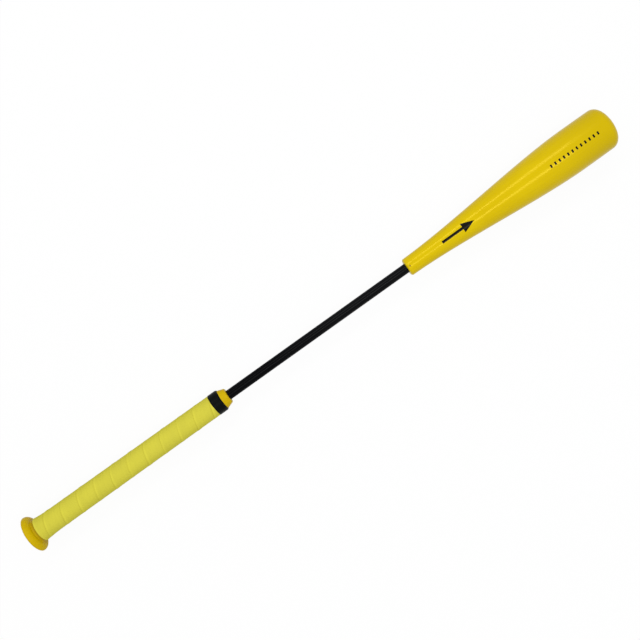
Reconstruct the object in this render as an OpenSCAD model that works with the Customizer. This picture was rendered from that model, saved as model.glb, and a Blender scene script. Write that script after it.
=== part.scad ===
// Baseball swing-training bat: a turned handle and a turned barrel, joined by a slim flexible rod.
// It lies along +X, with the flat end of its knob at the origin and +Z up.

/* [Lengths] */
// Handle, from the end of the knob to the end of the collar
handle_len = 287; // [250:1:320]
// Bare rod between the collar and the mouth of the barrel
shaft_free = 260; // [200:1:320]
// Barrel, from its mouth to its end
barrel_len = 293; // [260:1:340]
// Depth of the blind socket in the handle and in the barrel
socket_depth = 110; // [70:1:140]

/* [Rod and its fixing] */
// Diameter of the flexible rod
shaft_d = 12; // [10:0.5:13]
// Thickness of the glue line round each end of the rod
glue_t = 0.2; // [0.15:0.05:0.4]
// Glue between the tip of the rod and the floor of its socket
glue_pool = 2; // [1:0.5:4]
// Diameter of the cross pins
pin_d = 1.8; // [1.5:0.1:2.5]
// How far the ends of a pin sit below the wood
pin_sink = 0.3; // [0.2:0.1:0.6]
// From the mouth of the barrel to its pin
barrel_pin_from_mouth = 3.5; // [3.5:0.5:12]
// From the end of the collar to the pin of the handle
handle_pin_from_end = 15; // [12:0.5:19]

/* [Knob and handle] */
// Largest diameter of the knob
knob_d = 46; // [42:0.2:50]
// Diameter of the flat on the end of the knob
knob_flat_d = 27; // [20:1:30]
// Depth of the rounding from that flat to the rim
knob_end_depth = 3.1; // [2:0.1:5]
// Depth of the rounding from the rim to the flare
knob_back_depth = 6.3; // [4:0.1:8]
// Diameter where the rounded back of the knob turns into the flare
knob_root_d = 31; // [30:0.5:36]
// Length of the hollow flare, from the knob to the straight of the handle
flare_len = 30; // [20:0.5:40]
// Diameter of the wood under the tape, at the flare
grip_core_d = 25.4; // [24:0.2:27]
// Diameter of the wood where the collar starts
collar_d = 24.4; // [23:0.2:25.4]
// Length of the tapered collar
collar_len = 8.3; // [7:0.1:12]
// Diameter at the end of the taper
collar_end_d = 19.8; // [18:0.2:21]
// Rounding of the edge of the collar
collar_round = 1.6; // [1:0.1:2]

/* [Grip winding] */
// From the end of the knob to the lower edge of the tape, on the flare
wrap_start = 12.6; // [12:0.1:16]
// From the end of the collar back to the upper edge of the tape
wrap_end_gap = 9.9; // [9.5:0.1:14]
// Advance of the tape in one turn
wrap_pitch = 23.9; // [20:0.1:28]
// How far each turn lies over the one before
wrap_overlap = 4.7; // [2:0.1:6]
// Thickness of the tape
tape_t = 1.1; // [1:0.05:1.4]
// Thickness of its thinned edges
tape_edge_t = 0.3; // [0.25:0.05:0.35]
// Width over which an edge is thinned
tape_skive = 1.5; // [1.5:0.1:2.5]
// Air between a turn and the edge that it covers
tape_air = 0.5; // [0.48:0.02:0.6]
// Width of the slanted cut that starts and ends the tape
tape_cut = 7.5; // [7:0.5:9]
// Angle round the bat at which the tape starts, from +Y towards +Z
wrap_phase = 224; // [0:1:359]

/* [Finishing tape] */
// Width of the black band
band_w = 12.6; // [10:0.2:16]
// Thickness of the band over the grip tape
band_t = 0.25; // [0.2:0.05:0.5]
// Thickness of its edge on the collar
band_edge_t = 0.5; // [0.3:0.05:0.7]

/* [Barrel] */
// Diameter of the neck
neck_d = 22.6; // [20:0.2:25]
// Depth of the rounded edge of the mouth, along the bat
mouth_round_x = 2.4; // [2:0.1:4]
// Height of the rounded edge of the mouth, across the bat
mouth_round_r = 3; // [2:0.1:4]
// Largest diameter of the barrel
barrel_d = 54.4; // [48:0.2:60]
// From the end of the barrel back to its largest diameter
crown_from_end = 51.5; // [35:0.5:70]
// Length over which the neck stays slim
neck_ease = 73; // [50:1:100]
// Length over which the flank eases into the largest diameter
crown_ease = 68; // [45:1:90]
// Diameter at which the rounding of the end starts
tip_d = 54; // [47:0.2:60]
// Depth of the rounded end, along the bat
tip_round_x = 10.8; // [6:0.2:16]
// Height of the rounded end, across the bat
tip_round_r = 12; // [6:0.2:16]

/* [Hidden] */
$fn = 96;

// Colours, as red, green and blue
lacquer_gold = [0.80, 0.67, 0.04];
lacquer_yellow = [0.87, 0.75, 0.06];
tape_lemon = [0.85, 0.82, 0.28];
tape_black = [0.08, 0.09, 0.09];
rod_black = [0.10, 0.10, 0.11];
glue_amber = [0.78, 0.66, 0.42];
pin_steel = [0.55, 0.55, 0.56];

// Clearance of a seated piece, and of the rod from what bends away with the barrel
seat = 0.02;
free_gap = 0.04;
// Overshoot of a cut past the face that it opens
past = 1;

// Stations along the bat
mouth_x = handle_len + shaft_free;
bat_len = mouth_x + barrel_len;
collar_x = handle_len - collar_len;
crown_x = bat_len - crown_from_end;
handle_pin_x = handle_len - handle_pin_from_end;
barrel_pin_x = mouth_x + barrel_pin_from_mouth;
wrap_end = handle_len - wrap_end_gap;
knob_rim_x = knob_end_depth;
knob_root_x = knob_rim_x + knob_back_depth;
flare_end_x = knob_root_x + flare_len;

// Radii
shaft_r = shaft_d / 2;
socket_r = shaft_r + glue_t;
pin_r = pin_d / 2;
knob_r = knob_d / 2;
knob_root_r = knob_root_d / 2;
core_r = grip_core_d / 2;
collar_r = collar_d / 2;
neck_r = neck_d / 2;
crown_r = barrel_d / 2;
tip_r = tip_d / 2;

// Width of the grip tape, and of its slanted cut, which leaves room for the thinned edges
tape_w = wrap_pitch + wrap_overlap;
cut_w = max(tape_cut, wrap_overlap + tape_skive + 1);
// The x of the tape's lower edge at the start of the spiral, and its turns
tape_lead = wrap_start - tape_w + cut_w;
wrap_turns = (wrap_end - cut_w - tape_lead) / wrap_pitch;
// Sections of the tape in one turn
wrap_steps = 24;
// Height at which a turn passes over the edge that it covers
lip = tape_edge_t + tape_air;

// Points [radius, x] of a quarter ellipse round a centre, from one angle to another
function arc(x, r, half_x, half_r, from, to, n = 10) = [
    for (i = [0:n])
        let (a = from + (to - from) * i / n)
        [r + half_r * sin(a), x + half_x * cos(a)]
];

// Point [radius, x] on a cubic curve at u from 0 to 1
function cubic(p, u) =
    pow(1 - u, 3) * p[0] + 3 * u * pow(1 - u, 2) * p[1] + 3 * u * u * (1 - u) * p[2] + pow(u, 3) * p[3];

// Radius of the handle's wood at x: a hollow elliptic flare, then a slight straight taper
function wood_r(x) =
    x < flare_end_x
        ? core_r + (knob_root_r - core_r) * (1 - sqrt(max(0, 1 - pow((flare_end_x - x) / flare_len, 2))))
        : core_r + (collar_r - core_r) * (x - flare_end_x) / (collar_x - flare_end_x);

// Lays a shape that is drawn round +Z along +X
module along_x() {
    rotate([0, 90, 0])
        children();
}

// A round bar or hole along X
module bar(from, to, r) {
    translate([from, 0, 0])
        along_x()
            cylinder(h = to - from, r = r);
}

// A round bar or hole across the bat, along Z
module cross_bar(x, half, r) {
    translate([x, 0, -half])
        cylinder(h = 2 * half, r = r, $fn = 32);
}

// Turned wood with the knob, its flare, the straight for the tape, the collar and a blind socket
module handle() {
    knob_flat_r = knob_flat_d / 2;
    end_half = knob_r - knob_flat_r;
    back_half = knob_r - knob_root_r;
    flare_steps = 12;
    edge_x = handle_len - collar_round;
    edge_r = collar_end_d / 2;
    outline = concat(
        [[0, 0]],
        arc(knob_rim_x, knob_flat_r, knob_end_depth, end_half, 180, 90),
        arc(knob_rim_x, knob_root_r, knob_back_depth, back_half, 80, 0, 8),
        [for (i = [1:flare_steps])
            let (x = knob_root_x + flare_len * (1 - cos(90 * i / flare_steps)))
            [wood_r(x), x]],
        [[collar_r, collar_x]],
        arc(edge_x, edge_r - collar_round, collar_round, collar_round, 90, 0, 6),
        [[0, handle_len]]
    );
    color(lacquer_gold)
        difference() {
            along_x()
                rotate_extrude()
                    polygon(outline);
            bar(handle_len - socket_depth, handle_len + past, socket_r);
            cross_bar(handle_pin_x, knob_r, pin_r);
        }
}

// Height of the tape's underside and of its face, at a distance u from its lower edge
function under(u) = u < wrap_overlap ? lip : max(0, lip * (1 - (u - wrap_overlap) / tape_skive));
function face(u) =
    let (slope = tape_w - wrap_overlap - tape_skive)
    tape_t - (tape_t - tape_edge_t) * min(1, max(0, (u - slope) / tape_skive));

// Section of the tape after some turns, as [x, height over the wood] points. The tape's two ends are
// cut square to the bat, so a section there has only part of the width
function section(turns) =
    let (
        low = tape_lead + wrap_pitch * turns,
        u0 = max(0, wrap_start - low),
        u9 = min(tape_w, wrap_end - low),
        nick = 0.3,
        u1 = max(wrap_overlap, u0 + nick),
        u2 = max(wrap_overlap + tape_skive, u0 + 2 * nick),
        u8 = min(tape_w - wrap_overlap, u9 - nick),
        u7 = min(tape_w - wrap_overlap - tape_skive, u9 - 2 * nick),
        u3 = min(u2 + 5, (u2 + u7) / 2)
    )
    concat(
        [for (u = [u0, u1, u2, u3, u9]) [low + u, under(u)]],
        [for (u = [u9, u8, u7, u3, u0]) [low + u, face(u)]]
    );

// Radius at which the corners of the tape's flat facets clear the round wood
function tape_seat_r(x) = (wood_r(x) + seat) / cos(180 / wrap_steps);

// A section lifted onto the wood and turned to its place on the spiral
function ring(turns) =
    let (a = wrap_phase - 360 * turns)
    [
        for (p = section(turns))
            let (r = tape_seat_r(p[0]) + p[1])
            [p[0], r * cos(a), r * sin(a)]
    ];

// Points along the edges of a closed outline
function edge_points(outline, n = 6) = [
    for (i = [0:len(outline) - 1], k = [0:n - 1])
        outline[i] + (outline[(i + 1) % len(outline)] - outline[i]) * k / n
];

// Least distance between a turn and the next, measured on points of their sections
function turn_gap(turns) =
    let (
        a = edge_points(section(turns)),
        b = edge_points(section(turns + 1))
    )
    min([for (p = a, q = b) norm(p - q)]);

// One strip, wound as a left-handed overlapping spiral up the handle
module grip_tape() {
    rings = ceil(wrap_turns * wrap_steps);
    m = len(section(0));
    half = m / 2;
    points = [for (k = [0:rings]) each ring(wrap_turns * k / rings)];
    sides = [
        for (k = [0:rings - 1], i = [0:m - 1])
            let (a = k * m + i, b = k * m + (i + 1) % m)
            each [[a, b, b + m], [a, b + m, a + m]]
    ];
    start_cap = [
        for (i = [0:half - 2])
            each [[i, m - 2 - i, i + 1], [i, m - 1 - i, m - 2 - i]]
    ];
    end_cap = [for (f = start_cap) [f[0], f[2], f[1]] + rings * m * [1, 1, 1]];
    echo(least_gap_between_turns = min([for (t = [0:0.5:wrap_turns - 1]) turn_gap(t)]));
    color(tape_lemon)
        polyhedron(points = points, faces = concat(sides, start_cap, end_cap), convexity = 10);
}

// Thin black band over the end of the grip tape, drawn down onto the collar
module finishing_tape() {
    from = collar_x - band_w;
    shoulder = wrap_end + seat;
    over_r = tape_seat_r(from) + tape_t + seat;
    on_r = collar_r + seat;
    outline = [
        [over_r, from],
        [over_r + band_t, from],
        [over_r + band_t, shoulder - band_edge_t],
        [on_r + band_edge_t, collar_x],
        [on_r, collar_x],
        [on_r, shoulder],
        [over_r, shoulder]
    ];
    color(tape_black)
        along_x()
            rotate_extrude()
                polygon(outline);
}

// The flexible rod, with a drilled hole for each cross pin
module shaft() {
    reach = socket_depth - glue_pool;
    color(rod_black)
        difference() {
            bar(handle_len - reach, mouth_x + reach, shaft_r);
            cross_bar(handle_pin_x, shaft_d, pin_r);
            cross_bar(barrel_pin_x, shaft_d, pin_r + free_gap);
        }
}

// Glue that fills a socket round the rod and behind its tip
module glue_line(mouth, way, gap, pin_x) {
    color(glue_amber)
        difference() {
            translate([mouth, 0, 0])
                rotate([0, 90 * way, 0])
                    difference() {
                        cylinder(h = socket_depth, r = socket_r);
                        translate([0, 0, -past])
                            cylinder(h = socket_depth - glue_pool + past + gap, r = shaft_r + gap);
                    }
            cross_bar(pin_x, shaft_d, pin_r);
        }
}

// Steel pin through the wood and the rod
module cross_pin(x, wood) {
    color(pin_steel)
        cross_bar(x, wood - pin_sink, pin_r);
}

module handle_glue() {
    glue_line(handle_len, -1, 0, handle_pin_x);
}

module handle_pin() {
    cross_pin(handle_pin_x, wood_r(handle_pin_x));
}

// Turned wood from a rounded mouth and a slim neck to a rounded end, with a blind socket
module barrel() {
    flank = [
        [neck_r, mouth_x],
        [neck_r, mouth_x + neck_ease],
        [crown_r, crown_x - crown_ease],
        [crown_r, crown_x]
    ];
    flank_steps = 36;
    tip_x = bat_len - tip_round_x;
    fall_steps = 4;
    outline = concat(
        [[0, mouth_x]],
        arc(mouth_x + mouth_round_x, neck_r - mouth_round_r, mouth_round_x, mouth_round_r, 180, 90, 8),
        [for (i = [2:flank_steps]) cubic(flank, i / flank_steps)],
        [for (i = [1:fall_steps - 1])
            let (u = i / fall_steps)
            [crown_r - (crown_r - tip_r) * u * u, crown_x + (tip_x - crown_x) * u]],
        arc(tip_x, tip_r - tip_round_r, tip_round_x, tip_round_r, 90, 0, 14),
        [[0, bat_len]]
    );
    color(lacquer_yellow)
        difference() {
            along_x()
                rotate_extrude()
                    polygon(outline);
            bar(mouth_x - past, mouth_x + socket_depth, socket_r);
            cross_bar(barrel_pin_x, barrel_d, pin_r);
        }
}

module barrel_glue() {
    glue_line(mouth_x, 1, free_gap, barrel_pin_x);
}

module barrel_pin() {
    cross_pin(barrel_pin_x, neck_r);
}

handle();
grip_tape();
finishing_tape();
shaft();
handle_glue();
handle_pin();
barrel();
barrel_glue();
barrel_pin();
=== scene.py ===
import math

import bmesh
import bpy
import numpy as np
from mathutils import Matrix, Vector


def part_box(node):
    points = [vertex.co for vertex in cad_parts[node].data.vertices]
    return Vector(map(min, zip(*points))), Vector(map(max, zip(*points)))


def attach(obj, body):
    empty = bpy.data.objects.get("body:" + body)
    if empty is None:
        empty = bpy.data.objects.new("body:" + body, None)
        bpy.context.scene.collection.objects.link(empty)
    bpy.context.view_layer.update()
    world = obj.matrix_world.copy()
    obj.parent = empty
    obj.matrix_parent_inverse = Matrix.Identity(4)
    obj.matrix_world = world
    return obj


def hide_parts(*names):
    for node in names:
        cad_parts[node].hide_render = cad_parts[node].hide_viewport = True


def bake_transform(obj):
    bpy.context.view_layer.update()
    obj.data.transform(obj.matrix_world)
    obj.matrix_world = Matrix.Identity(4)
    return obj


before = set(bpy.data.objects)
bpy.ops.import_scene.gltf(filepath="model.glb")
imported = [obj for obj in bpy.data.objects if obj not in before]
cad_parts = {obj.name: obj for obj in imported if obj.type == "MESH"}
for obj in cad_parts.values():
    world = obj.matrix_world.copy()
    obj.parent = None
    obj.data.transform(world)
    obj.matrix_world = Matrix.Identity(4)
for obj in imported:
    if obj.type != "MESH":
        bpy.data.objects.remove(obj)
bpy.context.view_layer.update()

bl_info = {
    "name": "Training Bat",
    "version": (1, 0, 0),
    "blender": (4, 5, 0),
    "location": "3D View > Sidebar > Training Bat",
    "description": "Dresses a swing-training bat: turned wood, a wound grip, a flexible rod and a studio",
    "category": "Object",
}

MM = 0.001

# Sheen of the coloured lacquers, and the roughness of their coat where it is smoothest and roughest
SHEEN_LEVEL = 0.1
SHEEN_TINT = (1.0, 0.93, 0.7, 1.0)
COAT_SMOOTH = 0.15
COAT_ROUGH = 0.19

# Roughness of a streaked skin, on its threads and on the ground between them
THREAD_ROUGH = 0.30
GROUND_ROUGH = 0.46

# Colours of the fixings that keep their solids
PIN_DARK = (0.27, 0.17, 0.006)
PIN_PALE = (0.42, 0.28, 0.015)
GLUE_DARK = (0.30, 0.19, 0.06)
GLUE_PALE = (0.52, 0.38, 0.16)

# Rounding of the edge of a socket
SOCKET_ROUND = 0.3 * MM

# Boxes of the solids, which give the main lengths and diameters
HANDLE_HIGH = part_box("handle")[1]
BARREL_LOW, BARREL_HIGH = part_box("barrel")
SHAFT_LOW, SHAFT_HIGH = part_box("shaft")
TAPE_LOW, TAPE_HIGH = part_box("grip_tape")
BAND_LOW, BAND_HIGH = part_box("finishing_tape")
GLUE_LOW, GLUE_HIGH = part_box("handle_glue")
PIN_LOW, PIN_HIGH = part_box("barrel_pin")


def length(name, description, default):
    """A size in metres that a user may change."""
    return bpy.props.FloatProperty(
        name=name, description=description, default=default, min=0.0, precision=5, unit="LENGTH"
    )


def angle(name, description, degrees):
    """An angle that a user may change, given here in degrees."""
    return bpy.props.FloatProperty(
        name=name, description=description, default=math.radians(degrees), subtype="ANGLE"
    )


def colour(name, description, default):
    """A scene-linear colour that a user may change."""
    return bpy.props.FloatVectorProperty(
        name=name, description=description, default=default, min=0.0, max=1.0, size=3, subtype="COLOR"
    )


def share(name, description, default):
    """A plain number from 0 up that a user may change."""
    return bpy.props.FloatProperty(name=name, description=description, default=default, min=0.0)


class HandleValues(bpy.types.PropertyGroup):
    """Sizes and lacquer of the turned handle."""

    end_x: length("Handle length", "From the end of the knob to the end of the collar", HANDLE_HIGH.x)
    knob_d: length("Knob", "Largest diameter of the knob", 2 * HANDLE_HIGH.y)
    knob_flat_d: length("Knob flat", "Diameter of the flat on the end of the knob", 27 * MM)
    knob_end_depth: length("End rounding", "Depth of the rounding from the flat to the rim", 3.1 * MM)
    knob_back_depth: length("Back rounding", "Depth of the rounding from the rim to the flare", 6.3 * MM)
    knob_root_d: length("Knob root", "Diameter where the knob turns into the flare", 31 * MM)
    flare_len: length("Flare", "Length of the hollow flare behind the knob", 30 * MM)
    core_d: length("Core", "Diameter of the wood under the tape, at the flare", 25.4 * MM)
    collar_d: length("Collar", "Diameter where the collar starts", 24.4 * MM)
    collar_len: length("Collar length", "Length of the tapered collar", 8.3 * MM)
    collar_end_d: length("Collar end", "Diameter at the end of the taper", 19.8 * MM)
    collar_round: length("Collar edge", "Rounding of the edge of the collar", 1.6 * MM)
    lacquer: colour("Lacquer", "Colour of the lacquer", (0.69, 0.487, 0.0005))
    deep: colour("Deep lacquer", "Colour of the lacquer where it lies thick", (0.62, 0.415, 0.0))
    # Painted shade: the darker lacquer colour painted in the hollow behind the knob, where shade falls in the
    # crease
    crease_shade: colour("Pooled lacquer", "Colour of the lacquer in the hollow behind the knob", (0.41, 0.27, 0.0))


class GripValues(bpy.types.PropertyGroup):
    """Sizes and colour of the wound grip tape."""

    start_x: length("Start", "Where the tape starts, on the flare", TAPE_LOW.x)
    end_x: length("End", "Where the tape ends, under the black band", TAPE_HIGH.x)
    pitch: length("Pitch", "Advance of the tape in one turn", 23.9 * MM)
    overlap: length("Overlap", "How far each turn lies over the one before", 4.7 * MM)
    thick: length("Thickness", "Thickness of the tape", 0.95 * MM)
    edge_thick: length("Edge", "Thickness of its thinned edges", 0.3 * MM)
    skive: length("Thinned width", "Width over which an edge is thinned", 3.0 * MM)
    seat: length("Seat", "Room between the wood and the tape", 0.12 * MM)
    step: length("Step", "How far an edge stands up over the turn that it covers", 0.27 * MM)
    cut: length("Cut", "Width of the slanted cut that starts and ends the tape", 7.5 * MM)
    nose: length("Edge rounding", "Width of the rounded edge that shows", 0.7 * MM)
    press_len: length("Pressed end", "Width over which the band presses the end of the tape down", 2.2 * MM)
    press: length("Press", "How far the band presses the end of the tape down", 0.6 * MM)
    wander: length("Wander", "How far the hand-wound edge strays", 0.4 * MM)
    phase: angle("Phase", "Angle at which the tape starts, from +Y towards +Z", 224)
    tape: colour("Tape", "Colour of the tape", (0.69, 0.637, 0.057))
    # Painted shade: the darker colour painted down in the seams of the tape
    shade: colour("Seam", "Colour of the tape down in its seams", (0.57, 0.51, 0.036))


class BandValues(bpy.types.PropertyGroup):
    """Sizes and colour of the black finishing band."""

    start_x: length("Start", "Lower edge of the band", BAND_LOW.x)
    end_x: length("End", "Upper edge of the band, on the collar", BAND_HIGH.x)
    outer_d: length("Diameter", "Diameter of the band over the grip tape", 2 * BAND_HIGH.y)
    thick: length("Thickness", "Thickness of the band", 0.25 * MM)
    draw_len: length("Drawn edge", "Width over which the band is drawn down onto the collar", 2.0 * MM)
    pleat: length("Pleats", "Depth of the small pleats in the drawn edge", 0.09 * MM)
    layer: length("Layer", "Step at the loose end of the band", 0.13 * MM)
    lap: angle("Lap", "Angle of the loose end, from +Y towards +Z", 236)
    askew: length("Askew", "How far one side of its lower edge lies nearer to the knob", 0.36 * MM)
    vinyl: colour("Vinyl", "Colour of the band", (0.0009, 0.0018, 0.0014))
    stretch: colour("Stretch marks", "Colour of the stretched streaks", (0.0032, 0.0042, 0.0040))


class RodValues(bpy.types.PropertyGroup):
    """Sizes and colour of the flexible rod."""

    start_x: length("Lower tip", "Tip of the rod in the handle", SHAFT_LOW.x)
    end_x: length("Upper tip", "Tip of the rod in the barrel", SHAFT_HIGH.x)
    rod_d: length("Diameter", "Diameter of the rod", 2 * SHAFT_HIGH.y)
    bend_len: length("Bend", "Length of the rod over which it bends", 180 * MM)
    dull_x: length("Dull end", "Where the film of clear coat starts to thicken", 350 * MM)
    bright_x: length("Glossy end", "Where the film of clear coat is thickest", 450 * MM)
    thin_film: share("Thin film", "Weight of the clear coat where it is thinnest", 0.012)
    thick_film: share("Thick film", "Weight of the clear coat where it is thickest", 0.08)
    resin: colour("Resin", "Colour of the black resin", (0.0009, 0.0010, 0.0015))
    fibre: colour("Fibre", "Colour of the fibres near the surface", (0.0042, 0.0045, 0.0060))


class BarrelValues(bpy.types.PropertyGroup):
    """Sizes and finish of the turned barrel."""

    mouth_x: length("Mouth", "Where the barrel starts", BARREL_LOW.x)
    end_x: length("End", "Where the barrel ends", BARREL_HIGH.x)
    neck_d: length("Neck", "Diameter of the neck", 22.6 * MM)
    mouth_round_x: length("Mouth rounding", "Depth of the rounded mouth, along the bat", 2.4 * MM)
    mouth_round_r: length("Mouth edge", "Height of the rounded mouth, across the bat", 3 * MM)
    crown_d: length("Crown", "Largest diameter of the barrel", 2 * BARREL_HIGH.y)
    crown_from_end: length("Crown place", "From the end back to the largest diameter", 51.5 * MM)
    neck_ease: length("Neck ease", "Length over which the neck stays slim", 73 * MM)
    crown_ease: length("Crown ease", "Length over which the flank eases into the crown", 68 * MM)
    tip_d: length("Tip", "Diameter at which the rounding of the end starts", 54 * MM)
    tip_round_x: length("End rounding", "Depth of the rounded end, along the bat", 10.8 * MM)
    tip_round_r: length("End edge", "Height of the rounded end, across the bat", 12 * MM)
    pin_x: length("Pin", "Place of the cross pin along the bat", (PIN_LOW.x + PIN_HIGH.x) / 2)
    pin_hole_d: length("Pin hole", "Diameter of the hole over the pin", 2.2 * MM)
    pin_hole_depth: length("Hole depth", "Depth of that hole over the pin", 0.5 * MM)
    lacquer: colour("Lacquer", "Colour of the lacquer", (0.76, 0.557, 0.0005))
    deep: colour("Deep lacquer", "Colour of the lacquer where it lies thick", (0.715, 0.512, 0.0))
    # Painted shade: the next three values paint the lacquer darker towards the barrel's end, where less light
    # falls
    run: colour("Run lacquer", "Colour of the lacquer that has run towards the end", (0.665, 0.478, 0.0))
    end_shade_start: length("Run start", "From the end back to where the run starts to show", 95 * MM)
    end_shade_full: length("Full run", "From the end back to where the run is full", 20 * MM)
    ink: colour("Ink", "Colour of the plain marks", (0.004, 0.004, 0.004))


class StageValues(bpy.types.PropertyGroup):
    """Camera, lamps and floor."""

    view_x: length("View along", "Point under the camera, along the bat", 427.4 * MM)
    view_y: length("View across", "Point under the camera, across the bat", 9.5 * MM)
    camera_z: length("Camera height", "Height of the camera over the bat's axis", 1056.0 * MM)
    camera_turn: angle("Camera turn", "Turn of the camera about the vertical", -35.516)
    lens: bpy.props.FloatProperty(name="Lens", description="Focal length", default=50.0, unit="CAMERA")
    sky: share("Sky light", "Strength of the even light from all round", 0.71)
    floor_glow: share("Floor glow", "How much of the floor's white doesn't take shadow", 0.94)
    floor_bounce: share("Floor bounce", "Share of the light that the floor throws back up", 0.40)
    box_x: length("Softbox place", "Middle of both softboxes, along the bat", 0.62)
    box_len: length("Softbox length", "Length of both softboxes", 1.4)
    box_width: length("Softbox width", "Width of both softboxes", 0.34)
    left_lean: angle("Left lean", "Lean of the left softbox from the vertical, towards +Y", 36)
    left_far: length("Left distance", "From the bat's axis to the left softbox", 1.7)
    left_glow: share("Left radiance", "Radiance of the left softbox", 3.5)
    right_lean: angle("Right lean", "Lean of the right softbox from the vertical, towards +Y", -12)
    right_far: length("Right distance", "From the bat's axis to the right softbox", 1.8)
    right_glow: share("Right radiance", "Radiance of the right softbox", 4.0)


class TrainingBat(bpy.types.PropertyGroup):
    """All values of the training bat."""

    handle: bpy.props.PointerProperty(type=HandleValues)
    grip: bpy.props.PointerProperty(type=GripValues)
    band: bpy.props.PointerProperty(type=BandValues)
    rod: bpy.props.PointerProperty(type=RodValues)
    barrel: bpy.props.PointerProperty(type=BarrelValues)
    stage: bpy.props.PointerProperty(type=StageValues)


# Curves and surfaces


def smooth_step(t):
    """0 before 0, 1 after 1, and 3 t squared less 2 t cubed between them."""
    t = np.clip(t, 0.0, 1.0)
    return t * t * (3.0 - 2.0 * t)


def quarter(x, r, half_x, half_r, start, end, count):
    """Points (x, r) of an ellipse: the centre plus half_x times the cosine and half_r times the sine of an
    angle that runs from start to end in degrees."""
    a = np.radians(np.linspace(start, end, count))
    return np.column_stack([x + half_x * np.cos(a), r + half_r * np.sin(a)])


def line(x0, r0, x1, r1, count):
    """Evenly spaced points (x, r) on a straight line, without the first."""
    t = np.linspace(0.0, 1.0, count + 1)[1:]
    return np.column_stack([x0 + (x1 - x0) * t, r0 + (r1 - r0) * t])


def turned(profile, around):
    """A surface of revolution about X: point i of the profile (x, r) at angle a is (x, r cos a, r sin a). The
    profile's first and last points lie on the axis, and become the two poles. Returns points and faces."""
    x, r = profile[1:-1, 0][:, None], profile[1:-1, 1][:, None]
    rows, columns = len(x), len(around)
    rings = np.stack(
        [np.broadcast_to(x, (rows, columns)), r * np.cos(around), r * np.sin(around)], axis=-1
    )
    poles = np.array([[profile[0, 0], 0.0, 0.0], [profile[-1, 0], 0.0, 0.0]])
    return np.vstack([rings.reshape(-1, 3), poles]), turned_faces(rows, columns)


def turned_faces(rows, columns):
    """Quads between neighbouring rings, and a fan of triangles to the pole at each end."""
    here = np.arange(columns)
    there = (here + 1) % columns
    row = np.arange(rows - 1)[:, None] * columns
    quads = np.stack(
        [row + here, row + there, row + columns + there, row + columns + here], axis=-1
    ).reshape(-1, 4)
    first, last = rows * columns, rows * columns + 1
    top = (rows - 1) * columns
    start = np.column_stack([there, here, np.full(columns, first)])
    end = np.column_stack([top + here, top + there, np.full(columns, last)])
    return quads.tolist() + start.tolist() + end.tolist()


def loop_faces(stations, around, closed):
    """Quads between neighbouring sections, each a closed loop of points. A path that isn't closed gets a cap
    at each end: a loop's points run out along one side and back along the other, so a cap is a ladder between
    the sides."""
    here = np.arange(around)
    there = (here + 1) % around
    count = stations if closed else stations - 1
    row = np.arange(count)[:, None] * around
    following = (np.arange(count)[:, None] + 1) % stations * around
    quads = np.stack([row + here, row + there, following + there, following + here], axis=-1)
    faces = quads.reshape(-1, 4).tolist()
    if not closed:
        rung = np.arange(around // 2 - 1)
        cap = np.column_stack([rung, around - 1 - rung, around - 2 - rung, rung + 1])
        faces += cap.tolist() + (cap[:, ::-1] + (stations - 1) * around).tolist()
    return faces


def add_piece(name, points, faces, material, slot, *nodes):
    """A smooth closed mesh, in place, that stands for the named solids. Raises an error unless every edge has
    two faces that agree, and the faces point outwards."""
    mesh = bpy.data.meshes.new(name)
    mesh.from_pydata(points.tolist(), [], faces)
    if mesh.validate():
        raise RuntimeError(f"{name} has a broken face")
    check = bmesh.new()
    check.from_mesh(mesh)
    closed = all(edge.is_contiguous for edge in check.edges)
    outwards = check.calc_volume(signed=True) > 0
    check.free()
    if not (closed and outwards):
        raise RuntimeError(f"{name}: closed is {closed}, outwards is {outwards}")
    mesh.polygons.foreach_set("use_smooth", np.ones(len(mesh.polygons), bool))
    mesh.materials.append(material)
    piece = bpy.data.objects.new(name, mesh)
    bpy.context.scene.collection.objects.link(piece)
    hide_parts(*nodes)
    return piece


def add_vectors(piece, name, vectors):
    """Keeps a vector with each point of a piece, for its material to read."""
    kept = piece.data.attributes.new(name, "FLOAT_VECTOR", "POINT")
    kept.data.foreach_set("vector", vectors.astype(np.float32).ravel())


# Shader nodes


def set_sockets(tree, node, sockets):
    """Sets a node's input sockets, by name or place, to a value, or links them to another node's output."""
    for name, value in sockets.items():
        if isinstance(value, bpy.types.NodeSocket):
            tree.links.new(value, node.inputs[name])
        else:
            node.inputs[name].default_value = value


def add_node(tree, kind, sockets=None, **settings):
    """A shader node with its settings, and then its input sockets, set."""
    made = tree.nodes.new("ShaderNode" + kind)
    for name, value in settings.items():
        setattr(made, name, value)
    set_sockets(tree, made, sockets or {})
    return made


def reckon(tree, operation, *values):
    """The output of a Math node."""
    return add_node(tree, "Math", dict(enumerate(values)), operation=operation).outputs[0]


def weighed(tree, first, part, second, other_part):
    """The sum of two values, each times its part."""
    return reckon(tree, "MULTIPLY_ADD", first, part, reckon(tree, "MULTIPLY", second, other_part))


def near(tree, value, middle, half):
    """1 where a value is within half of the middle, and 0 elsewhere."""
    return reckon(tree, "COMPARE", value, middle, half)


def all_of(tree, first, *others):
    """The product of some masks."""
    for other in others:
        first = reckon(tree, "MULTIPLY", first, other)
    return first


def blend_colours(tree, factor, first, second):
    """The output of a colour Mix node: first at factor 0, second at factor 1."""
    mixed = add_node(tree, "Mix", {0: factor, 6: first, 7: second}, data_type="RGBA")
    return mixed.outputs[2]


def spread(tree, value, low, high, to_low=0.0, to_high=1.0):
    """A value from low to high, spread over to_low to to_high and held there."""
    return add_node(tree, "MapRange", {0: value, 1: low, 2: high, 3: to_low, 4: to_high}).outputs[0]


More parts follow.
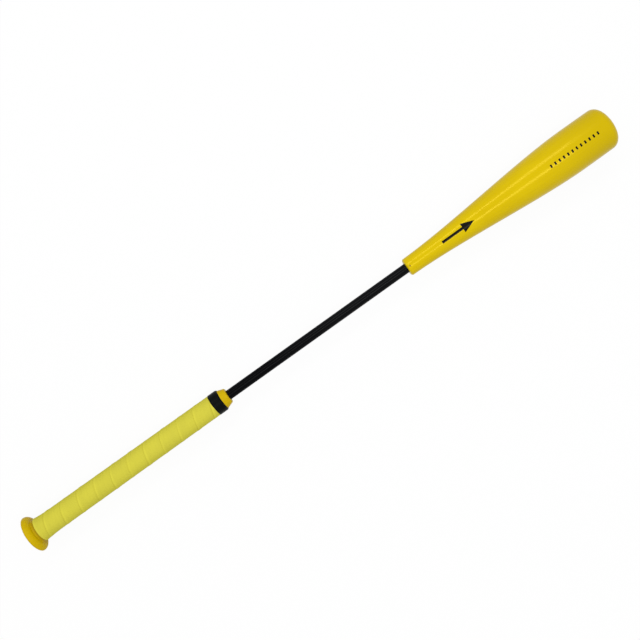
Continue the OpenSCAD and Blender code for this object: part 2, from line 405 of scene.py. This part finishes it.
def noise(tree, vector, scale, detail, roughness=0.5):
    """Noise about 0.5 at a scale in cells for each metre of the vector."""
    sockets = {"Vector": vector, "Scale": scale, "Detail": detail, "Roughness": roughness}
    return add_node(tree, "TexNoise", sockets).outputs[0]


def stretched(tree, vector, scale):
    """A vector that is scaled along each of its axes."""
    return add_node(tree, "Mapping", {"Vector": vector, "Scale": scale}, vector_type="POINT").outputs[0]


def opaque(rgb):
    """A colour with full alpha."""
    return (*rgb, 1.0)


def empty_tree(owner):
    """The node tree of a material or a world, cleared of its nodes."""
    owner.use_nodes = True
    owner.node_tree.nodes.clear()
    return owner.node_tree


def new_material(name):
    """A material with a Principled BSDF and an output. Returns it with its tree and its shader."""
    material = bpy.data.materials.new(name)
    tree = empty_tree(material)
    shader = add_node(tree, "BsdfPrincipled")
    add_node(tree, "OutputMaterial", {"Surface": shader.outputs[0]})
    return material, tree, shader


def raised(tree, height, distance):
    """The normal of a Bump node whose height is in units of distance."""
    sockets = {"Strength": 1.0, "Distance": distance, "Height": height}
    return add_node(tree, "Bump", sockets).outputs[0]


def effect_group(name, inputs, outputs):
    """An empty shader node group with named sockets. Returns it with its input and output nodes."""
    tree = bpy.data.node_groups.new(name, "ShaderNodeTree")
    for label, kind in inputs:
        tree.interface.new_socket(name=label, in_out="INPUT", socket_type="NodeSocket" + kind)
    for label, kind in outputs:
        tree.interface.new_socket(name=label, in_out="OUTPUT", socket_type="NodeSocket" + kind)
    return tree, tree.nodes.new("NodeGroupInput"), tree.nodes.new("NodeGroupOutput")


def place_group(tree, group, sockets):
    """A group's node in a material, with its inputs set or linked by name."""
    return add_node(tree, "Group", sockets, node_tree=group)


def lacquer_group():
    """Lacquer on turned wood: the grain shows faintly along X, the coat is a little thicker in places, and
    its skin has the slight waves of sprayed lacquer."""
    name = "Lacquered wood"
    if name in bpy.data.node_groups:
        return bpy.data.node_groups[name]
    tree, given, result = effect_group(
        name,
        [("Vector", "Vector"), ("Colour", "Color"), ("Deep Colour", "Color")],
        [("Colour", "Color"), ("Roughness", "Float"), ("Height", "Float")],
    )
    vector = given.outputs["Vector"]
    fibres = stretched(tree, vector, (9.0, 520.0, 520.0))
    grain = noise(tree, fibres, scale=1.0, detail=4.0, roughness=0.6)
    cloud = noise(tree, vector, scale=21.0, detail=2.0)
    waves = noise(tree, vector, scale=520.0, detail=1.0)
    tone = spread(tree, weighed(tree, grain, 0.6, cloud, 0.4), low=0.38, high=0.62)
    set_sockets(tree, result, {
        "Colour": blend_colours(tree, tone, given.outputs["Deep Colour"], given.outputs["Colour"]),
        "Roughness": spread(tree, cloud, 0.35, 0.65, COAT_SMOOTH, COAT_ROUGH),
        "Height": weighed(tree, grain, 0.35, waves, 0.65),
    })
    return tree


def streak_group():
    """Fine streaks along the first axis of a vector that is already scaled: pale threads on a dark ground."""
    name = "Drawn streaks"
    if name in bpy.data.node_groups:
        return bpy.data.node_groups[name]
    tree, given, result = effect_group(
        name,
        [("Vector", "Vector"), ("Ground", "Color"), ("Thread", "Color")],
        [("Colour", "Color"), ("Roughness", "Float"), ("Height", "Float")],
    )
    vector = given.outputs["Vector"]
    broad = noise(tree, vector, scale=1.0, detail=3.0, roughness=0.6)
    fine = noise(tree, vector, scale=3.7, detail=2.0)
    threads = weighed(tree, broad, 0.6, fine, 0.4)
    pale = spread(tree, threads, low=0.45, high=0.68)
    set_sockets(tree, result, {
        "Colour": blend_colours(tree, pale, given.outputs["Ground"], given.outputs["Thread"]),
        "Roughness": spread(tree, broad, 0.3, 0.7, GROUND_ROUGH, THREAD_ROUGH),
        "Height": threads,
    })
    return tree


# Materials


def place_on_object(tree):
    """The Object coordinates of a piece."""
    return add_node(tree, "TexCoord").outputs["Object"]


def kept_vector(tree, name):
    """The vector that a piece keeps with its points."""
    return add_node(tree, "Attribute", attribute_name=name).outputs["Vector"]


def handle_lacquer(values):
    """Satin golden lacquer, with painted shade in the hollow between the knob and the tape."""
    material, tree, shader = new_material("golden_lacquer")
    place = place_on_object(tree)
    coat = place_group(tree, lacquer_group(), {
        "Vector": place,
        "Colour": opaque(values.lacquer),
        "Deep Colour": opaque(values.deep),
    })
    root_x = values.knob_end_depth + values.knob_back_depth
    x = add_node(tree, "SeparateXYZ", {0: place}).outputs[0]
    # Painted shade in the crease behind the knob: it starts at the knob's root, is full a little way up the
    # flare, and ends under the tape
    start, full, fade, end = [root_x + way * MM for way in (-0.6, 2.6, 8.0, 12.0)]
    crease_shade_mask = all_of(tree, spread(tree, x, start, full), spread(tree, x, fade, end, 1.0, 0.0))
    set_sockets(tree, shader, {
        "Base Color": blend_colours(tree, crease_shade_mask, coat.outputs["Colour"], opaque(values.crease_shade)),
        "Roughness": spread(tree, coat.outputs["Roughness"], COAT_SMOOTH, COAT_ROUGH, 0.34, 0.44),
        "Specular IOR Level": SHEEN_LEVEL,
        "Specular Tint": SHEEN_TINT,
        "Normal": raised(tree, coat.outputs["Height"], 0.03 * MM),
    })
    return material


def printed_marks(tree):
    """Mask of the plain marks that face up on the barrel, an arrow towards its end and a row of ticks, on the
    length along the bat and the arc across it."""
    x, y, z = add_node(tree, "SeparateXYZ", {0: place_on_object(tree)}).outputs
    radius = reckon(tree, "SQRT", reckon(tree, "MULTIPLY_ADD", y, y, reckon(tree, "MULTIPLY", z, z)))
    arc = reckon(tree, "MULTIPLY", radius, reckon(tree, "ARCTAN2", y, z))

    arrow_x = 597 * MM
    bar_len, bar_half = 29 * MM, 1.7 * MM
    head_len, head_half = 16 * MM, 6.2 * MM
    along = reckon(tree, "SUBTRACT", x, arrow_x)
    bar = all_of(tree, near(tree, along, bar_len / 2, bar_len / 2), near(tree, arc, 0.0, bar_half))
    slope = spread(tree, along, bar_len, bar_len + head_len, head_half, 0.0)
    on_slope = reckon(tree, "LESS_THAN", reckon(tree, "ABSOLUTE", arc), slope)
    head = all_of(tree, reckon(tree, "GREATER_THAN", along, bar_len), on_slope)

    ticks, row_x, row_arc = 12, 748 * MM, -1.2 * MM
    tick_gap, tick_width, tick_half = 6 * MM, 2.2 * MM, 2.0 * MM
    run = reckon(tree, "SUBTRACT", x, row_x)
    row_half = ticks * tick_gap / 2
    on_tick = reckon(tree, "LESS_THAN", reckon(tree, "MODULO", run, tick_gap), tick_width)
    row = all_of(tree, near(tree, run, row_half, row_half), on_tick, near(tree, arc, row_arc, tick_half))

    marks = reckon(tree, "MAXIMUM", reckon(tree, "MAXIMUM", bar, head), row)
    return all_of(tree, marks, reckon(tree, "GREATER_THAN", z, 0.0))


def barrel_lacquer(values):
    """Glossy yellow lacquer with painted shade that darkens it towards the end, and two plain black marks."""
    material, tree, shader = new_material("yellow_lacquer")
    place = place_on_object(tree)
    coat = place_group(tree, lacquer_group(), {
        "Vector": place,
        "Colour": opaque(values.lacquer),
        "Deep Colour": opaque(values.deep),
    })
    x = add_node(tree, "SeparateXYZ", {0: place}).outputs[0]
    # Painted shade: the lacquer is painted darker towards the end, where less light falls
    run = spread(tree, x, values.end_x - values.end_shade_start, values.end_x - values.end_shade_full)
    wood = blend_colours(tree, run, coat.outputs["Colour"], opaque(values.run))
    marks = printed_marks(tree)
    set_sockets(tree, shader, {
        "Base Color": blend_colours(tree, marks, wood, opaque(values.ink)),
        "Roughness": coat.outputs["Roughness"],
        "Metallic": 0.055,
        "Specular IOR Level": SHEEN_LEVEL,
        "Specular Tint": SHEEN_TINT,
        "Normal": raised(tree, coat.outputs["Height"], 0.002 * MM),
    })
    return material


def grip_tape(values):
    """Soft matt tape: a fine pebbled skin and faint pull lines along the tape, with painted shade down in the
    seams and a painted highlight on the crest beside them, both stronger in some places than in others. It
    reads the vector that each
    point keeps: the way along the tape, the way across it, and its tone, from -1 for the painted highlight on
    a crest to 1 for the painted shade down in a seam."""
    material, tree, shader = new_material("lemon_tape")
    along, across, tone = add_node(tree, "SeparateXYZ", {0: kept_vector(tree, "way")}).outputs
    flat = add_node(tree, "CombineXYZ", {0: along, 1: across}).outputs[0]
    cells = add_node(tree, "TexVoronoi", {"Vector": flat, "Scale": 1500.0, "Randomness": 1.0})
    pulls = noise(tree, stretched(tree, flat, (35.0, 420.0, 1.0)), scale=1.0, detail=3.0)
    cloud = noise(tree, flat, scale=45.0, detail=3.0)
    patchy = spread(tree, noise(tree, flat, scale=32.0, detail=1.0), 0.36, 0.62, 0.35, 1.0)
    wear = spread(tree, weighed(tree, cloud, 0.6, pulls, 0.4), low=0.3, high=0.7)
    dull, fresh, pale = [opaque([min(1.0, part * c) for c in values.tape]) for part in (0.94, 1.04, 1.1)]
    worn = blend_colours(tree, wear, dull, fresh)
    # Painted highlight: the pale colour on the crest beside each seam. Painted shade: the seam colour down in
    # the seam. Both are patchy
    crest = all_of(tree, spread(tree, tone, low=0.0, high=-1.0), patchy)
    lit = blend_colours(tree, crest, worn, pale)
    seam = all_of(tree, spread(tree, tone, low=0.0, high=1.0), patchy)
    height = weighed(tree, cells.outputs["Distance"], 0.6, pulls, 0.5)
    set_sockets(tree, shader, {
        "Base Color": blend_colours(tree, seam, lit, opaque(values.shade)),
        "Roughness": spread(tree, cloud, 0.3, 0.7, 0.62, 0.78),
        "Specular IOR Level": 0.15,
        "Normal": raised(tree, height, 0.1 * MM),
    })
    return material


def black_band(values):
    """Stretched black vinyl with streaks round the bat."""
    material, tree, shader = new_material("black_vinyl")
    skin = place_group(tree, streak_group(), {
        "Vector": stretched(tree, kept_vector(tree, "way"), (45.0, 900.0, 1.0)),
        "Ground": opaque(values.vinyl),
        "Thread": opaque(values.stretch),
    })
    set_sockets(tree, shader, {
        "Base Color": skin.outputs["Colour"],
        "Roughness": skin.outputs["Roughness"],
        "Specular IOR Level": 0.06,
        "Normal": raised(tree, skin.outputs["Height"], 0.04 * MM),
    })
    return material


def black_rod(values):
    """Black resin over fibres that run along the rod, with a film of clear coat that thickens towards the
    barrel."""
    material, tree, shader = new_material("black_fibre_rod")
    rest = kept_vector(tree, "rest")
    skin = place_group(tree, streak_group(), {
        "Vector": stretched(tree, rest, (16.0, 950.0, 950.0)),
        "Ground": opaque(values.resin),
        "Thread": opaque(values.fibre),
    })
    x = add_node(tree, "SeparateXYZ", {0: rest}).outputs[0]
    film = spread(tree, x, values.dull_x, values.bright_x, values.thin_film, values.thick_film)
    set_sockets(tree, shader, {
        "Base Color": skin.outputs["Colour"],
        "Roughness": spread(tree, skin.outputs["Roughness"], THREAD_ROUGH, GROUND_ROUGH, 0.16, 0.28),
        "Specular IOR Level": 0.03,
        "Coat Weight": film,
        "Coat Roughness": 0.05,
        "Normal": raised(tree, skin.outputs["Height"], 0.03 * MM),
    })
    return material


def pin_steel():
    """Drawn steel with a dull brown film of lacquer and dust."""
    material, tree, shader = new_material("pin_steel")
    film = noise(tree, place_on_object(tree), scale=1400.0, detail=3.0)
    set_sockets(tree, shader, {
        "Base Color": blend_colours(tree, film, opaque(PIN_DARK), opaque(PIN_PALE)),
        "Metallic": spread(tree, film, 0.3, 0.7, 0.05, 0.35),
        "Roughness": spread(tree, film, 0.3, 0.7, 0.35, 0.6),
    })
    return material


def hard_glue():
    """Hard amber glue, a little cloudy."""
    material, tree, shader = new_material("hard_glue")
    cloud = noise(tree, place_on_object(tree), scale=900.0, detail=2.0)
    set_sockets(tree, shader, {
        "Base Color": blend_colours(tree, cloud, opaque(GLUE_DARK), opaque(GLUE_PALE)),
        "Roughness": spread(tree, cloud, 0.3, 0.7, 0.25, 0.45),
        "Specular IOR Level": 0.5,
    })
    return material


# Pieces


def wood_radius(values, x):
    """Radius of the handle's wood at x: from the knob's root a quarter of an ellipse, hollow, down to the
    core, and then a straight taper to the collar."""
    root_x = values.knob_end_depth + values.knob_back_depth
    flare_end = root_x + values.flare_len
    core, root, collar = values.core_d / 2, values.knob_root_d / 2, values.collar_d / 2
    left = np.clip((flare_end - x) / values.flare_len, 0.0, 1.0)
    straight = (x - flare_end) / (values.end_x - values.collar_len - flare_end)
    flare = core + (root - core) * (1.0 - np.sqrt(1.0 - left * left))
    return np.where(x < flare_end, flare, core + (collar - core) * straight)


class BAT_OT_handle(bpy.types.Operator):
    """Turned handle with its knob, hollow flare, tapered collar and socket"""

    bl_idname = "bat.handle"
    bl_label = "Handle"

    def execute(self, context):
        v = context.scene.training_bat.handle
        knob, flat, root = v.knob_d / 2, v.knob_flat_d / 2, v.knob_root_d / 2
        rim_x = v.knob_end_depth
        root_x = rim_x + v.knob_back_depth
        flare_end = root_x + v.flare_len
        collar_x = v.end_x - v.collar_len
        edge_r, rounding = v.collar_end_d / 2, v.collar_round
        bore, floor_x, soft = GLUE_HIGH.y, GLUE_LOW.x, SOCKET_ROUND
        flare_x = root_x + v.flare_len * (1.0 - np.cos(np.radians(np.linspace(0, 90, 33)[1:])))
        profile = np.vstack([
            [[0.0, 0.0]],
            line(0.0, 0.0, 0.0, flat, 12)[:-1],
            quarter(rim_x, flat, v.knob_end_depth, knob - flat, 180, 90, 25),
            quarter(rim_x, root, v.knob_back_depth, knob - root, 90, 0, 29)[1:],
            np.column_stack([flare_x, wood_radius(v, flare_x)]),
            line(flare_end, v.core_d / 2, collar_x, v.collar_d / 2, 60),
            line(collar_x, v.collar_d / 2, v.end_x - rounding, edge_r, 14),
            quarter(v.end_x - rounding, edge_r - rounding, rounding, rounding, 90, 0, 13)[1:],
            line(v.end_x, edge_r - rounding, v.end_x, bore + soft, 5),
            quarter(v.end_x - soft, bore + soft, soft, -soft, 0, 90, 6)[1:],
            line(v.end_x - soft, bore, floor_x, bore, 16),
            [[floor_x, 0.0]],
        ])
        around = np.linspace(0, 2 * np.pi, 176, endpoint=False)
        points, faces = turned(profile, around)
        piece = add_piece("turned_handle", points, faces, handle_lacquer(v), "handle_lacquer", "handle")
        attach(piece, "handle")
        return {"FINISHED"}


def hand_stray(turn):
    """How a hand-wound edge strays, from -1 to 1, after some turns: the sum of two sines, one with few and
    one with many waves for each turn."""
    few, many = 0.43, 1.37
    return 0.6 * np.sin(2 * np.pi * few * turn + 1.0) + 0.4 * np.sin(2 * np.pi * many * turn + 2.1)


class BAT_OT_grip(bpy.types.Operator):
    """One strip of padded tape, wound in an overlapping spiral up the handle"""

    bl_idname = "bat.grip"
    bl_label = "Grip winding"

    def execute(self, context):
        bat = context.scene.training_bat
        v = bat.grip
        width = v.pitch + v.overlap
        lead = v.start_x - width + v.cut
        turns = (v.end_x - v.cut - lead) / v.pitch
        stations, face_points = 1150, 30
        turn = np.linspace(0.0, turns, stations)[:, None]

        # Each section has a face, from the edge that shows to the edge that the next turn covers, and an
        # underside back again. Its points crowd towards both edges
        crowd = 0.148
        low = lead + v.pitch * turn + v.wander * hand_stray(turn)
        seam = v.pitch + v.wander * (hand_stray(turn + 1.0) - hand_stray(turn))
        first = np.maximum(0.0, v.start_x - low)
        last = np.minimum(width, v.end_x - low)
        q = np.linspace(0.0, 1.0, face_points)[None, :]
        across = first + (last - first) * (q - crowd * np.sin(2 * np.pi * q))

        # The underside lies on the thinned edge of the turn before, and then on the wood
        def covered_edge(past):
            return v.thick - (v.thick - v.edge_thick) * smooth_step(past / v.skive)

        air, landing = 0.03 * MM, 0.4 * v.overlap
        on_wood = smooth_step((across - v.overlap) / landing)
        under = (covered_edge(across) + air) * (1.0 - on_wood)

        # The face stands up over the covered edge, by a step that varies, and goes down under the next turn.
        # The edge that shows is rounded, and the black band presses the end of the tape down
        varies, waves = 0.35, 0.61
        step = v.step * (1.0 + varies * np.sin(2 * np.pi * waves * turn + 0.5))
        stands_up = 1.0 - smooth_step((across - 0.5 * v.overlap) / v.overlap)
        pressed = smooth_step((low + across - v.end_x) / v.press_len + 1.0)
        level = covered_edge(across - seam) + step * stands_up - v.press * pressed
        rounding = 1.0 - np.clip((across - first) / v.nose, 0.0, 1.0)
        foot = under[:, :1] + air
        face = foot + np.maximum(level - foot, 0.0) * np.sqrt(1.0 - rounding ** 2)
        face = np.maximum(face, under + air)

        x = np.concatenate([low + across, (low + across)[:, ::-1]], axis=1)
        height = np.concatenate([face, under[:, ::-1]], axis=1)
        radius = wood_radius(bat.handle, x) + v.seat + height
        a = v.phase - 2 * np.pi * turn
        points = np.stack([x, radius * np.cos(a), radius * np.sin(a)], axis=-1)

        # What each point keeps: the way along the tape, the way across it, and its tone, for the painted
        # shade in the seam or the painted highlight on the crest
        seam_width, crest_place, crest_width = 0.7 * MM, 1.6 * MM, 0.9 * MM
        along = np.broadcast_to(turn * np.pi * bat.handle.core_d, x.shape)
        over_and_under = np.concatenate([across, across[:, ::-1]], axis=1)
        seam_shade = np.exp(-((np.minimum(across - seam, 0.0) / seam_width) ** 2))
        crest_highlight = np.exp(-(((across - first - crest_place) / crest_width) ** 2))
        tone = np.concatenate([seam_shade - crest_highlight, np.ones_like(across)], axis=1)

        piece = add_piece(
            "wound_grip", points.reshape(-1, 3), loop_faces(stations, 2 * face_points, False),
            grip_tape(v), "grip_tape", "grip_tape",
        )
        add_vectors(piece, "way", np.stack([along, over_and_under, tone], axis=-1))
        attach(piece, "handle")
        return {"FINISHED"}


class BAT_OT_band(bpy.types.Operator):
    """Black tape over the end of the grip, stretched down onto the collar"""

    bl_idname = "bat.band"
    bl_label = "Finishing band"

    def execute(self, context):
        bat = context.scene.training_bat
        v = bat.band
        columns, across_points = 300, 40
        # The loose end is a step at one angle, so the band starts and ends there
        lap_gap = 0.004
        a = (v.lap - np.linspace(lap_gap, 2 * np.pi, columns))[:, None]
        lap = np.linspace(0.0, 1.0, columns)[:, None]
        t = np.linspace(0.0, 1.0, across_points)[None, :]

        # Both edges are a little wavy, and the lower one is also askew
        slow, quick, upper = 0.12 * MM, 0.07 * MM, 0.08 * MM
        start = v.start_x - v.askew * np.cos(a) + slow * np.sin(3 * a + 1.0) + quick * np.sin(8 * a)
        end = v.end_x - upper * (1 + np.sin(5 * a + 0.4))
        x = start + (end - start) * t

        # Radius of the outside: level over the grip tape, and drawn down in small pleats to a lip on the
        # collar
        lip_len, lip_height = 0.3 * MM, 0.35 * MM
        drawn = smooth_step((x - (v.end_x - v.draw_len)) / (v.draw_len - lip_len))
        on_collar = bat.handle.collar_d / 2 + lip_height
        outer = v.outer_d / 2 + (on_collar - v.outer_d / 2) * drawn
        coarse, fine = 31, 47
        pleats = np.sin(coarse * a + 1.6 * np.sin(2 * a)) + 0.6 * np.sin(fine * a + 0.7)
        outer = outer + v.pleat * pleats * drawn * (1.0 - 0.5 * drawn) + v.layer * (lap - 0.5) * (1.0 - drawn)

        # Both edges are rounded and thin
        edge_part, edge_fall, edge_thick = 0.03, 0.12 * MM, 0.55
        edge = np.clip(np.minimum(t, 1.0 - t) / edge_part, 0.0, 1.0)
        outer = outer - edge_fall * (1.0 - np.sqrt(1.0 - (1.0 - edge) ** 2))
        inner = outer - v.thick * (edge_thick + (1.0 - edge_thick) * edge)

        both_x = np.concatenate([x, x[:, ::-1]], axis=1)
        radius = np.concatenate([outer, inner[:, ::-1]], axis=1)
        points = np.stack([both_x, radius * np.cos(a), radius * np.sin(a)], axis=-1)
        piece = add_piece(
            "finishing_band", points.reshape(-1, 3), loop_faces(columns, 2 * across_points, True),
            black_band(v), "finishing_tape", "finishing_tape",
        )
        round_bat = np.broadcast_to(a * v.outer_d / 2, both_x.shape)
        way = np.stack([round_bat, both_x, np.zeros_like(both_x)], axis=-1)
        add_vectors(piece, "way", way)
        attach(piece, "handle")
        return {"FINISHED"}


class BAT_OT_rod(bpy.types.Operator):
    """Slim black rod between the handle and the barrel"""

    bl_idname = "bat.rod"
    bl_label = "Rod"

    def execute(self, context):
        bat = context.scene.training_bat
        v = bat.rod
        r, soft = v.rod_d / 2, 0.5 * MM
        collar, mouth = bat.handle.end_x, bat.barrel.mouth_x
        profile = np.vstack([
            [[v.start_x, 0.0]],
            line(v.start_x, 0.0, v.start_x, r - soft, 4)[:-1],
            quarter(v.start_x + soft, r - soft, soft, soft, 180, 90, 6),
            line(v.start_x + soft, r, collar, r, 12),
            line(collar, r, mouth, r, 208),
            line(mouth, r, v.end_x - soft, r, 12)[:-1],
            quarter(v.end_x - soft, r - soft, soft, soft, 90, 0, 6),
            line(v.end_x, r - soft, v.end_x, 0.0, 4),
        ])
        around = np.linspace(0, 2 * np.pi, 96, endpoint=False)
        points, faces = turned(profile, around)
        piece = add_piece("flexible_rod", points, faces, black_rod(v), "rod", "shaft")
        add_vectors(piece, "rest", points)
        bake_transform(piece)
        return {"FINISHED"}


class BAT_OT_barrel(bpy.types.Operator):
    """Turned barrel from its rounded mouth and slim neck to its rounded end"""

    bl_idname = "bat.barrel"
    bl_label = "Barrel"

    def execute(self, context):
        v = context.scene.training_bat.barrel
        neck, crown, tip = v.neck_d / 2, v.crown_d / 2, v.tip_d / 2
        crown_x, tip_x = v.end_x - v.crown_from_end, v.end_x - v.tip_round_x
        bore, soft = GLUE_HIGH.y, SOCKET_ROUND
        floor_x = v.mouth_x + (GLUE_HIGH.x - GLUE_LOW.x)

        # Flank: a cubic curve from the neck to the crown, level at both ends
        u = np.linspace(0.0, 1.0, 4001)[:, None]
        corners = np.array([
            [v.mouth_x, neck],
            [v.mouth_x + v.neck_ease, neck],
            [crown_x - v.crown_ease, crown],
            [crown_x, crown],
        ])
        weights = np.hstack([(1 - u) ** 3, 3 * u * (1 - u) ** 2, 3 * u * u * (1 - u), u ** 3])
        curve = weights @ corners

        # Points lie close together from the rounded mouth to a little past the pin
        pin_room = 1.6 * MM
        round_end, past_pin = v.mouth_x + v.mouth_round_x, v.pin_x + pin_room
        flank_x = np.concatenate([
            np.linspace(round_end, past_pin, 28)[1:],
            np.linspace(past_pin, crown_x, 136)[1:],
        ])
        fall = np.linspace(0.0, 1.0, 17)[1:-1]
        profile = np.vstack([
            [[floor_x, 0.0], [floor_x, bore]],
            line(floor_x, bore, v.mouth_x + soft, bore, 16),
            quarter(v.mouth_x + soft, bore + soft, soft, soft, 270, 180, 6)[1:],
            line(v.mouth_x, bore + soft, v.mouth_x, neck - v.mouth_round_r, 5)[:-1],
            quarter(round_end, neck - v.mouth_round_r, v.mouth_round_x, v.mouth_round_r, 180, 90, 31),
            np.column_stack([flank_x, np.interp(flank_x, curve[:, 0], curve[:, 1])]),
            np.column_stack([crown_x + (tip_x - crown_x) * fall, crown - (crown - tip) * fall * fall]),
            quarter(tip_x, tip - v.tip_round_r, v.tip_round_x, v.tip_round_r, 90, 0, 31),
            line(v.end_x, tip - v.tip_round_r, v.end_x, 0.0, 10),
        ])
        # Angles crowd where the pin comes out, at the top and at the bottom
        crowd = 8
        half = np.concatenate([np.linspace(-crowd, crowd, 29), np.linspace(crowd, 180 - crowd, 83)[1:-1]])
        around = np.radians(np.concatenate([half + 90, half + 270]))
        points, faces = turned(profile, around)

        # The pin sits in a shallow drilled hole with a soft rim of lacquer
        radius = np.hypot(points[:, 1], points[:, 2])
        aside = radius * np.arcsin(np.clip(np.abs(points[:, 1]) / np.maximum(radius, 1e-9), 0.0, 1.0))
        apart = np.hypot(points[:, 0] - v.pin_x, aside)
        hole, rim_height = v.pin_hole_d / 2, 0.05 * MM
        wall, wall_width = 0.85 * hole, 0.3 * hole
        crest, crest_width = 1.35 * hole, 0.2 * hole
        sunk = v.pin_hole_depth * (1.0 - smooth_step((apart - wall) / wall_width))
        rim = rim_height * np.exp(-(((apart - crest) / crest_width) ** 2))
        outside = radius > 0.9 * neck
        factor = np.where(outside, (radius - sunk + rim) / np.maximum(radius, 1e-9), 1.0)
        points[:, 1:] *= factor[:, None]

        piece = add_piece("turned_barrel", points, faces, barrel_lacquer(v), "barrel_lacquer", "barrel")
        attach(piece, "barrel")
        return {"FINISHED"}


class BAT_OT_fixings(bpy.types.Operator):
    """Finishes of the glue and of the cross pins, which keep their solids"""

    bl_idname = "bat.fixings"
    bl_label = "Glue and pins"

    def execute(self, context):
        for names, material in (
            (("handle_glue", "barrel_glue"), hard_glue()),
            (("handle_pin", "barrel_pin"), pin_steel()),
        ):
            for name in names:
                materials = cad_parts[name].data.materials
                materials.clear()
                materials.append(material)
        return {"FINISHED"}


# Stage


def seen_directly(tree):
    """1 for a camera, glossy or transmission ray, and 0 for the light that falls on things."""
    path = add_node(tree, "LightPath").outputs
    seen = reckon(tree, "MAXIMUM", path["Is Camera Ray"], path["Is Glossy Ray"])
    return reckon(tree, "MAXIMUM", seen, path["Is Transmission Ray"])


def white_floor(glow, bounce):
    """White floor: part of what is seen of it glows an even white, and the rest takes the shadow. It throws
    only a share of the light back up."""
    material = bpy.data.materials.new("white_floor")
    tree = empty_tree(material)
    seen = seen_directly(tree)
    looks = 0.97
    paint = blend_colours(tree, seen, opaque((bounce, bounce, bounce)), opaque((looks, looks, looks)))
    white = add_node(tree, "BsdfDiffuse", {"Color": paint})
    even = add_node(tree, "Emission", {"Color": (1.0, 1.0, 1.0, 1.0), "Strength": 1.0})
    amount = reckon(tree, "MULTIPLY", seen, glow)
    both = add_node(tree, "MixShader", {0: amount, 1: white.outputs[0], 2: even.outputs[0]})
    add_node(tree, "OutputMaterial", {"Surface": both.outputs[0]})
    return material


def add_softbox(values, name, lean, distance, radiance):
    """A long softbox over the bat and parallel to it, that leans by an angle from the vertical towards +Y.
    Its power is pi times its area times its radiance."""
    lamp = bpy.data.lights.new(name, "AREA")
    lamp.shape = "RECTANGLE"
    lamp.size, lamp.size_y = values.box_len, values.box_width
    lamp.energy = math.pi * values.box_len * values.box_width * radiance
    holder = bpy.data.objects.new(name, lamp)
    holder.location = (values.box_x, distance * math.sin(lean), distance * math.cos(lean))
    holder.rotation_euler = (-lean, 0.0, 0.0)
    holder.visible_camera = False
    bpy.context.scene.collection.objects.link(holder)


class BAT_OT_stage(bpy.types.Operator):
    """White floor that touches the knob and the barrel, even sky light, two softboxes and the camera"""

    bl_idname = "bat.stage"
    bl_label = "Stage"

    def execute(self, context):
        scene = context.scene
        bat = scene.training_bat
        v, handle, barrel = bat.stage, bat.handle, bat.barrel

        # The bat lies on its knob and on its crown, so the floor is a plane that touches both
        knob_x, crown_x = handle.knob_end_depth, barrel.end_x - barrel.crown_from_end
        fall = (barrel.crown_d - handle.knob_d) / 2 / (crown_x - knob_x)
        reach, clear = 6.0, 0.05 * MM
        corners = np.array([[-reach, -reach], [reach, -reach], [reach, reach], [-reach, reach]])
        heights = -handle.knob_d / 2 - clear - fall * (corners[:, 0] - knob_x)
        mesh = bpy.data.meshes.new("floor")
        mesh.from_pydata(np.column_stack([corners, heights]).tolist(), [], [[0, 1, 2, 3]])
        mesh.materials.append(white_floor(v.floor_glow, v.floor_bounce))
        floor = bpy.data.objects.new("floor", mesh)
        scene.collection.objects.link(floor)

        world = bpy.data.worlds.new("studio")
        tree = empty_tree(world)
        strength = spread(tree, seen_directly(tree), 0.0, 1.0, v.sky, 1.0)
        sky = add_node(tree, "Background", {"Color": (1.0, 1.0, 1.0, 1.0), "Strength": strength})
        add_node(tree, "OutputWorld", {"Surface": sky.outputs[0]})
        scene.world = world

        add_softbox(v, "softbox_left", v.left_lean, v.left_far, v.left_glow)
        add_softbox(v, "softbox_right", v.right_lean, v.right_far, v.right_glow)

        camera = bpy.data.cameras.new("camera")
        camera.lens, camera.sensor_width = v.lens, 36.0
        camera.clip_start, camera.clip_end = 0.01, 50.0
        holder = bpy.data.objects.new("camera", camera)
        holder.location = (v.view_x, v.view_y, v.camera_z)
        holder.rotation_euler = (0.0, 0.0, v.camera_turn)
        scene.collection.objects.link(holder)
        scene.camera = holder
        scene.view_settings.view_transform = "Standard"
        return {"FINISHED"}


class BAT_PT_panel(bpy.types.Panel):
    """Lists the pieces of the bat and their values"""

    bl_idname = "BAT_PT_panel"
    bl_label = "Training Bat"
    bl_space_type = "VIEW_3D"
    bl_region_type = "UI"
    bl_category = "Training Bat"

    def draw(self, context):
        bat = context.scene.training_bat
        for operator, values in PARTS:
            box = self.layout.box()
            box.operator(operator)
            group = getattr(bat, values, None)
            for name in group.__annotations__ if group else ():
                box.prop(group, name)


PARTS = (
    ("bat.handle", "handle"),
    ("bat.grip", "grip"),
    ("bat.band", "band"),
    ("bat.rod", "rod"),
    ("bat.barrel", "barrel"),
    ("bat.fixings", ""),
    ("bat.stage", "stage"),
)

CLASSES = (
    HandleValues, GripValues, BandValues, RodValues, BarrelValues, StageValues, TrainingBat,
    BAT_OT_handle, BAT_OT_grip, BAT_OT_band, BAT_OT_rod, BAT_OT_barrel, BAT_OT_fixings, BAT_OT_stage,
    BAT_PT_panel,
)


def register():
    """Adds the classes, and the bat's values for each scene, to Blender."""
    for cls in CLASSES:
        bpy.utils.register_class(cls)
    bpy.types.Scene.training_bat = bpy.props.PointerProperty(type=TrainingBat)


def unregister():
    """Takes away what register adds."""
    del bpy.types.Scene.training_bat
    for cls in reversed(CLASSES):
        bpy.utils.unregister_class(cls)


def main():
    """Builds the stage and every piece."""
    register()
    bpy.ops.bat.stage()
    bpy.ops.bat.handle()
    bpy.ops.bat.grip()
    bpy.ops.bat.band()
    bpy.ops.bat.rod()
    bpy.ops.bat.barrel()
    bpy.ops.bat.fixings()


if __name__ == "__main__":
    main()
